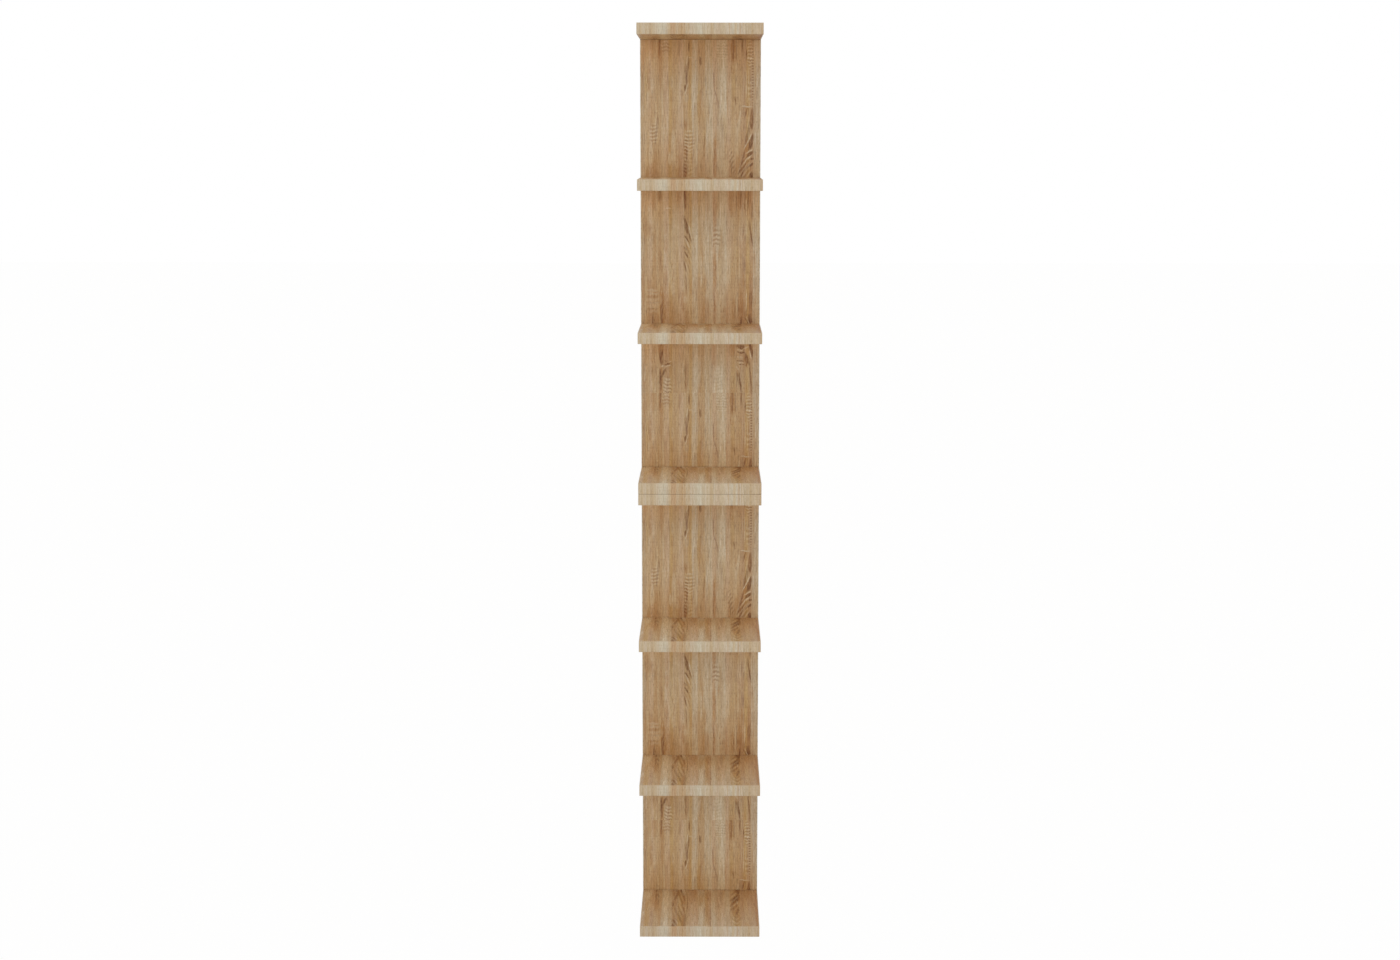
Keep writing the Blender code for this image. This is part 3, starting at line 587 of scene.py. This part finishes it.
# Noise laid over the facing: its size across and along in mm, its detail, roughness and seed, and then each
# tone that it brings, with the values between which the tone comes in and its share. The drifts lie under
# the marks, and the grain lies over them.
DRIFTS = {
    "drift": (9, 130, 2.0, 0.5, 7.3, [(RUST, 0.50, 0.72, 0.25), (PALE, 0.48, 0.28, 0.28)]),
    "tint": (7, 90, 2.0, 0.5, 2.6, [(OCHRE, 0.50, 0.72, 0.35)]),
}
GRAIN = {
    "fibre": (2.0, 80, 3.0, 0.65, 1.7, [(FIBRE, 0.50, 0.74, 0.42), (LIME, 0.48, 0.26, 0.40)]),
    "thread": (0.8, 24, 2.0, 0.6, 5.9, [(PORE, 0.50, 0.70, 0.38), (LIME, 0.46, 0.28, 0.34)]),
    "fleck": (1.0, 11, 2.0, 0.6, 8.2, [(PORE, 0.52, 0.70, 0.17), (LIME, 0.46, 0.30, 0.20)]),
    "pores": (0.35, 5.0, 1.0, 0.5, 9.4, [(PORE, 0.60, 0.70, 0.46)]),
    "sawn": (22, 1.5, 2.0, 0.5, 4.2, [(LIME, 0.54, 0.70, 0.16)]),
}

# How dull the surfaces are, what a pore adds to that, and the depth and the strength of the grain's relief
BOARD_ROUGHNESS = 0.52
BAND_ROUGHNESS = 0.50
CHIP_ROUGHNESS = 0.85
PORE_ROUGHNESS = 0.2
BOARD_RELIEF = (0.12 * MM, 0.5)
BAND_RELIEF = (0.10 * MM, 0.4)

# Narrow edges show the strips squeezed: how much, and the place in the strips where each edge's print
# begins. The front's print reaches round the corner by a little, in mm.
BAND_SQUEEZE = 4.0
SIDE_START = -90
UPRIGHT_START = -790
FRONT_REACH = 1.2

# Particle board: its chips to a mm across and down, and their tones
CHIPS_ACROSS = 0.33
CHIPS_DOWN = 1.1
CHIPBOARD = [
    (0.0, screen(120, 90, 58)), (0.35, screen(168, 136, 96)), (0.7, screen(198, 168, 126)),
    (1.0, screen(222, 198, 160)),
]


def strip_tones(finish, across, strips):
    """The tone of the strip that a point lies in, blending into the next at each border. A list that is too
    long for one ramp is halved."""
    width = 2 * HALF_WIDTH
    ends = [start for start, _ in strips[1:]] + [HALF_WIDTH]
    stops = []
    for (start, tone), end in zip(strips, ends):
        for side in (start + STRIP_BLEND, end - STRIP_BLEND):
            stops.append(((side + HALF_WIDTH) / width, tone))
    if len(stops) <= RAMP_STOPS:
        share = (across + HALF_WIDTH) * (1 / width)
        return finish.node("ShaderNodeValToRGB", {"stops": stops}, {"Fac": share})
    half = len(strips) // 2
    border, tone = strips[half]
    left = strip_tones(finish, across, strips[:half] + [(border, strips[half - 1][1])])
    right = strip_tones(finish, across, [(-HALF_WIDTH, tone)] + strips[half:])
    return finish.mix(across.rise(border - STRIP_BLEND, border + STRIP_BLEND), left, right)


def laid_over(finish, across, along, colour, layers, lay, strength=1.0):
    """The colour with layers of noise laid over it, and the noises by their names."""
    noises = {}
    for name, (wide, long, detail, roughness, seed, tones) in layers.items():
        noises[name] = finish.noise(across, along, wide, long, detail, roughness, seed)
        for tone, start, end, share in tones:
            colour = lay(noises[name].rise(start, end) * (share * strength), colour, tone)
    return colour, noises


def oak(finish, across, along, strips, marks=(), bars=(), bent=3.0, open_grain=1.0):
    """Limed oak facing. Tones come from the strips, then drifts, the listed marks and bars, and the grain
    are laid over them. Bent is how far lines wander, in mm, and open_grain how strongly the grain shows.
    Returns the colour, a height from 0 to 1 and the pores."""
    wander = finish.noise(across, along, *WANDER) - 0.5
    ragged = finish.noise(across, along, *RAGGED) - 0.5
    here = across + wander * bent + ragged * (bent * 0.5)
    colour = strip_tones(finish, across + wander * (bent * STRIP_BEND), strips)
    colour, _ = laid_over(finish, across, along, colour, DRIFTS, finish.mix)

    broken = finish.noise(across, along, *WORN).rise(0.30, 0.60) * 0.75 + LEFT_WHERE_WORN
    place = finish.point(here, along + wander * MARK_SHIFT)
    for tone, patches in marks:
        lay = finish.tinted if tone == UMBER else finish.mix
        colour = lay(finish.patches(place, patches) * broken, colour, tone)
    for *ends, half_width, step, centre, lean, dark, pale in bars:
        area = finish.patch(place, ends, half_width, 1.0)
        leaning = along + abs(across - centre) * lean + wander * BAR_SHIFT + ragged * BAR_FRAYING
        wave = (leaning * (2 * math.pi / step)).sine()
        colour = finish.tinted(area * wave.rise(0.0, 0.8) * (broken * dark), colour, UMBER)
        colour = finish.mix(area * wave.rise(0.0, -0.8) * pale, colour, PALE)

    colour, noises = laid_over(finish, across, along, colour, GRAIN, finish.tinted, open_grain)
    pores = noises["pores"].rise(0.60, 0.70)
    height = 1.0 - pores * 0.7 - noises["fibre"].rise(0.5, 0.8) * 0.3
    return colour, height, pores


def panel_finish():
    """The facing of the back panels, grain upright. Its print repeats down the panel, as on the real board.
    In front it has painted light and shade: a painted warm glow just under a board, and painted shade, warmer
    and deeper, just over one."""
    finish = Finish("limed_oak_upright")
    x, depth, drop, _ = finish.place()
    along = drop - (drop > PRINT_LENGTH + PANEL_START) * PRINT_LENGTH
    colour, height, pores = oak(finish, x, along, PANEL_STRIPS, PANEL_MARKS, PANEL_BARS)
    dots = (along * (2 * math.pi / DOT_STEP)).sine().rise(-0.2, 0.6)
    dots = dots * finish.patch(finish.point(x, along), *DOT_ROW)
    colour = finish.tinted(dots * DOT_DEPTH, colour, UMBER)
    bay = (drop - PANEL_START) % STEP
    in_front = depth < WALL_DEPTH - PANEL_HALF
    # Painted light and shade on the panel's front face: a warm glow under each board and deeper shade over
    # each one
    colour = finish.tinted(bay.rise(PAINTED_GLOW_REACH, 0) * in_front, colour, PAINTED_GLOW)
    colour = finish.tinted(bay.rise(CLEAR - PAINTED_SHADE_OVER_REACH, CLEAR) * in_front, colour, PAINTED_SHADE_OVER_BOARD)
    finish.surface(Base_Color=colour, Roughness=pores * PORE_ROUGHNESS + BOARD_ROUGHNESS)
    finish.bump(height, *BOARD_RELIEF)
    return finish.material


def board_finish():
    """The facing of the boards, grain from back to front. It has painted shade, turning warmer and deeper
    towards the back and all over underneath. The rear edges at the wall are bare particle board."""
    finish = Finish("limed_oak_board")
    x, depth, drop, hang = finish.place()
    colour, height, pores = oak(finish, x, depth, BOARD_STRIPS, BOARD_MARKS, BOARD_BARS)
    # Half a board is added, so that a board's top face, at a drop of 0, stays clear of the wrap
    underneath = (drop + THICKNESS / 2) % STEP > THICKNESS * 1.5 - 0.1
    # Painted shade: warmer and deeper towards the back of a board and all over its underside
    colour = finish.tinted(depth.rise(*PAINTED_WARM_SHADE_DEPTH).larger(underneath), colour, PAINTED_WARM_SHADE)
    # Painted shade, deeper down the column
    colour = finish.dimmed_by_painted_shade(hang, colour)
    rear = depth > WALL_DEPTH - 0.15
    chips = finish.node("ShaderNodeCombineXYZ", {}, {"X": x * CHIPS_ACROSS, "Y": drop * CHIPS_DOWN})
    sockets = {"Vector": chips, "Scale": 1.0}
    cells = finish.node("ShaderNodeTexVoronoi", {"voronoi_dimensions": "2D"}, sockets, "Color")
    shade = finish.node("ShaderNodeSeparateColor", {}, {"Color": cells})
    bare = finish.node("ShaderNodeValToRGB", {"stops": CHIPBOARD}, {"Fac": shade})
    roughness = (pores * PORE_ROUGHNESS + BOARD_ROUGHNESS).larger(rear * CHIP_ROUGHNESS)
    finish.surface(Base_Color=finish.mix(rear, colour, bare), Roughness=roughness)
    finish.bump(height, *BOARD_RELIEF)
    return finish.material


def band_finish():
    """The edge bands of the boards. In front the strips run down over the edge, and at the sides the grain
    runs along the board."""
    finish = Finish("limed_oak_band")
    x, depth, drop, hang = finish.place()
    down = drop % STEP
    # The band strips hold a painted sheen as well as the band's own tone
    front, height, pores = oak(finish, x, down * -1.0, BAND_STRIPS_WITH_SHEEN, bent=2.0, open_grain=0.8)
    side, _, _ = oak(finish, down * BAND_SQUEEZE + SIDE_START, depth, BAND_STRIPS_WITH_SHEEN, bent=2.0, open_grain=0.8)
    # Painted shade, deeper down the column
    colour = finish.dimmed_by_painted_shade(hang, finish.mix(depth > FRONT_REACH, front, side))
    finish.surface(Base_Color=colour, Roughness=pores * PORE_ROUGHNESS + BAND_ROUGHNESS)
    finish.bump(height, *BAND_RELIEF)
    return finish.material


def panel_band_finish():
    """The bands on the panels' sides, grain upright."""
    finish = Finish("limed_oak_band_upright")
    _, depth, drop, _ = finish.place()
    # The band strips hold a painted sheen as well as the band's own tone
    colour, height, pores = oak(finish, depth * BAND_SQUEEZE + UPRIGHT_START, drop, BAND_STRIPS_WITH_SHEEN, bent=2.0)
    finish.surface(Base_Color=colour, Roughness=pores * PORE_ROUGHNESS + BAND_ROUGHNESS)
    finish.bump(height, *BAND_RELIEF)
    return finish.material


def metal_finish(name, tone, roughness):
    """Plated steel with faint cloudy wear."""
    finish = Finish(name)
    x, depth, drop, _ = finish.place()
    wear = finish.cloud(x, depth, drop, scale=0.8, detail=4.0)
    colour = finish.mix(wear.rise(0.4, 0.7) * 0.5, tone, screen(120, 118, 112))
    finish.surface(Base_Color=colour, Metallic=1.0, Roughness=wear * 0.25 + roughness)
    return finish.material


def beech_finish():
    """Pale beech of the dowels, grain along each dowel."""
    finish = Finish("beech")
    x, depth, drop, _ = finish.place()
    flecks = finish.cloud(x * 2.0, depth * 0.4, drop * 0.4, scale=1.0, detail=3.0)
    colour = finish.mix(flecks.rise(0.45, 0.7), screen(222, 186, 142), screen(190, 146, 100))
    finish.surface(Base_Color=colour, Roughness=0.65)
    return finish.material


def dress(node, material):
    """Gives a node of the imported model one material."""
    mesh = NODES[node].data
    mesh.materials.clear()
    mesh.materials.append(material)


def arc(centre, radius, start, end, count):
    """Points on a circle: the centre plus the radius times cosine and sine of evenly spaced angles, in
    degrees."""
    angle = np.radians(np.linspace(start, end, count))
    return np.column_stack([centre[0] + radius * np.cos(angle), centre[1] + radius * np.sin(angle)])


def closed_body(name, rings, material, sharp=35.0):
    """A piece from an array of rings by points: four-sided faces from each ring to the next, and a flat cap
    on the first and the last. Points that coincide, as at a mitre, are merged."""
    count, around = rings.shape[:2]
    index = np.arange(count * around).reshape(count, around)
    beside = np.roll(index, -1, axis=1)
    faces = np.stack([index[:-1], beside[:-1], beside[1:], index[1:]], axis=-1).reshape(-1, 4).tolist()
    mesh = bpy.data.meshes.new(name)
    mesh.from_pydata(rings.reshape(-1, 3), [], faces + [index[0].tolist(), index[-1].tolist()])
    shape = bmesh.new()
    shape.from_mesh(mesh)
    bmesh.ops.remove_doubles(shape, verts=shape.verts, dist=1e-7)
    bmesh.ops.recalc_face_normals(shape, faces=shape.faces)
    shape.to_mesh(mesh)
    shape.free()
    return shown(name, mesh, material, sharp)


def shown(name, mesh, material, sharp):
    """An object of the mesh, shaded smooth but for edges that are sharper than so many degrees."""
    mesh.shade_smooth()
    mesh.set_sharp_from_angle(angle=math.radians(sharp))
    mesh.materials.clear()
    mesh.materials.append(material)
    made = bpy.data.objects.new(name, mesh)
    bpy.context.scene.collection.objects.link(made)
    return made


def settle(made, node):
    """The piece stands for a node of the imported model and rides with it."""
    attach(made, "root")
    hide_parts(node)


def strip_section(height):
    """The section of an edge band as (depth, height): square where it is glued on, which closes the glue
    gap, and a quarter circle at each of its two outer corners."""
    soft = STRIP_SOFTNESS
    lower = arc((soft, soft), soft, 270, 180, EDGE_POINTS)
    upper = arc((soft, height - soft), soft, 180, 90, EDGE_POINTS)
    return np.vstack([[(STRIP_DEPTH, 0.0)], lower, upper, [(STRIP_DEPTH, height)]])


def board_edging(node, material):
    """The band round a board's two sides and front. A station on the path has a centre c, an outward normal
    n and a mitre m, and a point of the section at depth d lies at c + n (R - d) up to the corner radius R,
    and past it at c - m (d - R)."""
    low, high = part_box(node)
    half = high.x - STRIP_CORNER
    front = low.y + STRIP_CORNER
    left, right = (arc((0.0, 0.0), 1.0, start, start + 90, CORNER_POINTS) for start in (180, 270))
    normal = np.vstack([left[:1], left, right, right[-1:]])
    side = np.where(np.arange(len(normal)) < len(normal) / 2, -1.0, 1.0)
    centre = np.column_stack([side * half, np.full(len(normal), front)])
    centre[[0, -1], 1] = high.y
    mitre = np.column_stack([side, np.full(len(normal), -1.0)])
    mitre[[0, -1], 1] = 0.0
    depth, rise = strip_section(high.z - low.z).T
    outer = np.maximum(STRIP_CORNER - depth, 0.0)[None, :, None] * normal[:, None, :]
    inner = np.maximum(depth - STRIP_CORNER, 0.0)[None, :, None] * mitre[:, None, :]
    flat = centre[:, None, :] + outer - inner
    rings = np.dstack([flat, np.broadcast_to(low.z + rise, flat.shape[:2])])
    settle(closed_body(node.replace("band", "edging"), rings, material), node)


def panel_edging(node, material):
    """The band on a side edge of a panel: the section carried straight up."""
    low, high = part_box(node)
    side = 1.0 if high.x > 0 else -1.0
    depth, back = strip_section(high.y - low.y).T
    ring = np.column_stack([side * (BAND_SIDE - depth), low.y + back])
    heights = np.linspace(low.z, high.z, UPRIGHT_ROWS)
    shape = (UPRIGHT_ROWS, len(ring))
    rings = np.dstack([np.broadcast_to(ring, (*shape, 2)), np.broadcast_to(heights[:, None], shape)])
    settle(closed_body(node.replace("band", "edging"), rings, material), node)


def hexagon(angle):
    """How far the wall of a hexagon socket lies from its axis: half its width over the cosine of the angle
    off the nearest flat."""
    return SOCKET_WIDTH / 2 / np.cos((angle + math.pi / 6) % (math.pi / 3) - math.pi / 6)


def cross(angle):
    """How far the wall of a cross recess lies from its axis: the core's radius, and up to the arm's where
    the sine of twice the angle is near 0."""
    return CROSS_CORE + (CROSS_ARM - CROSS_CORE) * np.clip(1.6 - 2.6 * np.abs(np.sin(2 * angle)), 0.0, 1.0)


def screw_rows(cut, size):
    """A screw's surface, as a radius and a height for each row and angle. The head's top is at 0 and the
    tip lies below. Rows run from the bottom of the recess over the head and down the shank. In the thread
    the radius is the core's plus a ridge, which is 1 less twice the distance to the crest in turns,
    squared, and the crest climbs one pitch a turn."""
    angle = np.linspace(0, 2 * math.pi, SCREW_SIDES, endpoint=False)
    whole = np.ones_like(angle)
    shank, core, head, rim, recess = (size[name] for name in ("shank", "core", "head", "rim", "recess"))
    softness = rim * 0.4
    crown = arc((head - softness, -softness), softness, 90, 0, 4)
    rows = [(cut(angle) * wide, -recess * deep) for wide, deep in RECESS_ROWS]
    rows += [(np.maximum(cut(angle) * CHAMFER, size["mouth"]), 0.0)]
    rows += [(radius * whole, height) for radius, height in crown]
    rows += [(head * whole, -rim), (shank * whole, -rim - (head - shank)), (shank * whole, -size["shoulder"])]
    start, end, pitch = size["shoulder"], size["length"] - size["tip"], size["pitch"]
    drop = np.arange(start + pitch / ROWS_A_TURN, end, pitch / ROWS_A_TURN)
    phase = (drop[:, None] / pitch - angle / (2 * math.pi)) % 1.0
    ridge = (1 - 2 * np.abs(phase - 0.5)) ** 2
    fade = np.minimum(1, (end - drop) / pitch)[:, None]
    thread = core + (shank - core) * ridge * fade
    radii = np.vstack([radius for radius, _ in rows] + [thread, core * whole, core * 0.5 * whole])
    tip = [-end - size["tip"] / 4, -size["length"]]
    heights = np.concatenate([[height for _, height in rows], -drop, tip])
    return angle, radii, heights


def driven_screw(node, name, outward, cut, size, material):
    """A screw turned about its own axis and laid where its node is, with its head facing outward."""
    low, high = (np.array(corner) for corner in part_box(node))
    outward = np.array(outward)
    angle, radii, heights = screw_rows(cut, size)
    head = np.where(outward == 0, (low + high) / 2, np.where(outward > 0, high, low))
    across = np.array([1.0, 0.0, 0.0])
    along = np.cross(outward, across)
    ray = np.cos(angle)[:, None] * across + np.sin(angle)[:, None] * along
    rings = head + radii[..., None] * ray + heights[:, None, None] * outward
    settle(closed_body(name, rings, material, sharp=25.0), node)


def keyhole_plate(node, name, material):
    """A copy of a hanger plate with its triangles joined into flats and its edges taken off."""
    mesh = NODES[node].data.copy()
    mesh.name = name
    shape = bmesh.new()
    shape.from_mesh(mesh)
    bmesh.ops.remove_doubles(shape, verts=shape.verts, dist=1e-6)
    bmesh.ops.dissolve_limit(shape, angle_limit=math.radians(1), verts=shape.verts, edges=shape.edges)
    shape.to_mesh(mesh)
    shape.free()
    made = shown(name, mesh, material, sharp=30.0)
    bevel = made.modifiers.new("edges", "BEVEL")
    bevel.width = PLATE_BEVEL
    bevel.segments = 2
    bevel.limit_method = "ANGLE"
    bevel.angle_limit = math.radians(50)
    settle(made, node)


def make_shelf():
    panel, board, band, upright_band = panel_finish(), board_finish(), band_finish(), panel_band_finish()
    screws = metal_finish("zinc_plate", screen(206, 206, 202), 0.28)
    plates = metal_finish("hanger_plate", screen(176, 178, 180), 0.34)
    beech = beech_finish()
    for module in MODULES:
        dress(module + "back_panel", panel)
        for board_name, outward in DRIVEN_FROM.items():
            whole = module + board_name
            dress(whole, board)
            dress(whole + "_dowel", beech)
            board_edging(whole + "_band", band)
            for side in SIDES:
                name = f"{whole}_carcass_screw_{side}"
                driven_screw(f"{whole}_screw_{side}", name, outward, hexagon, CARCASS_SCREW, screws)
        for side in SIDES:
            panel_edging(f"{module}back_panel_band_{side}", upright_band)
            hanger = f"{module}hanger_{side}"
            plate = f"{module}keyhole_plate_{side}"
            keyhole_plate(hanger, plate, plates)
            for end in ("top", "bottom"):
                driven_screw(f"{hanger}_screw_{end}", f"{plate}_tack_{end}", (0, 1, 0), cross, TACK, screws)
    for side in SIDES:
        dress("locating_dowel_" + side, beech)


def make_floor():
    """A plain pale floor well below the hung shelf. Seen directly or in a reflection it is white but for
    the shelf's shadow."""
    ends = ((-1, -1), (1, -1), (1, 1), (-1, 1))
    corners = [(x * FLOOR_REACH, y * FLOOR_REACH, FLOOR_HEIGHT) for x, y in ends]
    mesh = bpy.data.meshes.new("floor")
    mesh.from_pydata(corners, [], [(0, 1, 2, 3)])
    floor = bpy.data.objects.new("floor", mesh)
    bpy.context.scene.collection.objects.link(floor)
    finish = Finish("pale_floor")
    finish.surface(Base_Color=FLOOR_TONE, Roughness=0.8, Specular_IOR_Level=0.0)
    glow = finish.node("ShaderNodeEmission", {}, {"Color": WHITE, "Strength": 1.0})
    body = Wire(finish, finish.shader.outputs[0])
    mixed = finish.node("ShaderNodeMixShader", {}, {0: finish.seen() * FLOOR_WHITENESS, 1: body, 2: glow})
    finish.feed(finish.tree.nodes["Material Output"], {"Surface": mixed})
    mesh.materials.append(finish.material)


def make_light():
    """A wide soft lamp in front, a little above and to the left. It aims above the shelf, so that its light
    falls off down the column. An even pale world lights the rest and shows white."""
    lamp = bpy.data.lights.new("softbox", "AREA")
    lamp.size = LAMP_SIZE
    lamp.energy = LAMP_POWER
    softbox = bpy.data.objects.new("softbox", lamp)
    softbox.location = LAMP_PLACE
    aim = np.array(LAMP_AIM) - np.array(softbox.location)
    heading = math.atan2(aim[1], aim[0])
    elevation = math.atan2(aim[2], math.hypot(aim[0], aim[1]))
    softbox.rotation_euler = (elevation + math.pi / 2, 0.0, heading - math.pi / 2)
    bpy.context.scene.collection.objects.link(softbox)

    world = bpy.data.worlds.new("studio")
    world.use_nodes = True
    sky = Nodes(world.node_tree)
    level = sky.seen() * (1.0 - SKY_LEVEL) + SKY_LEVEL
    sky.feed(world.node_tree.nodes["Background"], {"Color": WHITE, "Strength": level})
    bpy.context.scene.world = world


def make_camera():
    """The photograph's view: level with the upper shelves, looking a little down on the column."""
    data = bpy.data.cameras.new("camera")
    data.sensor_width = SENSOR_WIDTH
    data.lens = FOCAL_LENGTH
    data.shift_x = FRAME_SHIFT
    camera = bpy.data.objects.new("camera", data)
    camera.location = CAMERA_PLACE
    tilted = Matrix.Rotation(math.radians(90 - CAMERA_PITCH), 3, "X")
    camera.rotation_euler = (tilted @ Matrix.Rotation(math.radians(CAMERA_TURN), 3, "Z")).to_euler()
    bpy.context.scene.collection.objects.link(camera)
    bpy.context.scene.camera = camera


make_shelf()
make_floor()
make_light()
make_camera()
bpy.context.scene.view_settings.view_transform = "Standard"
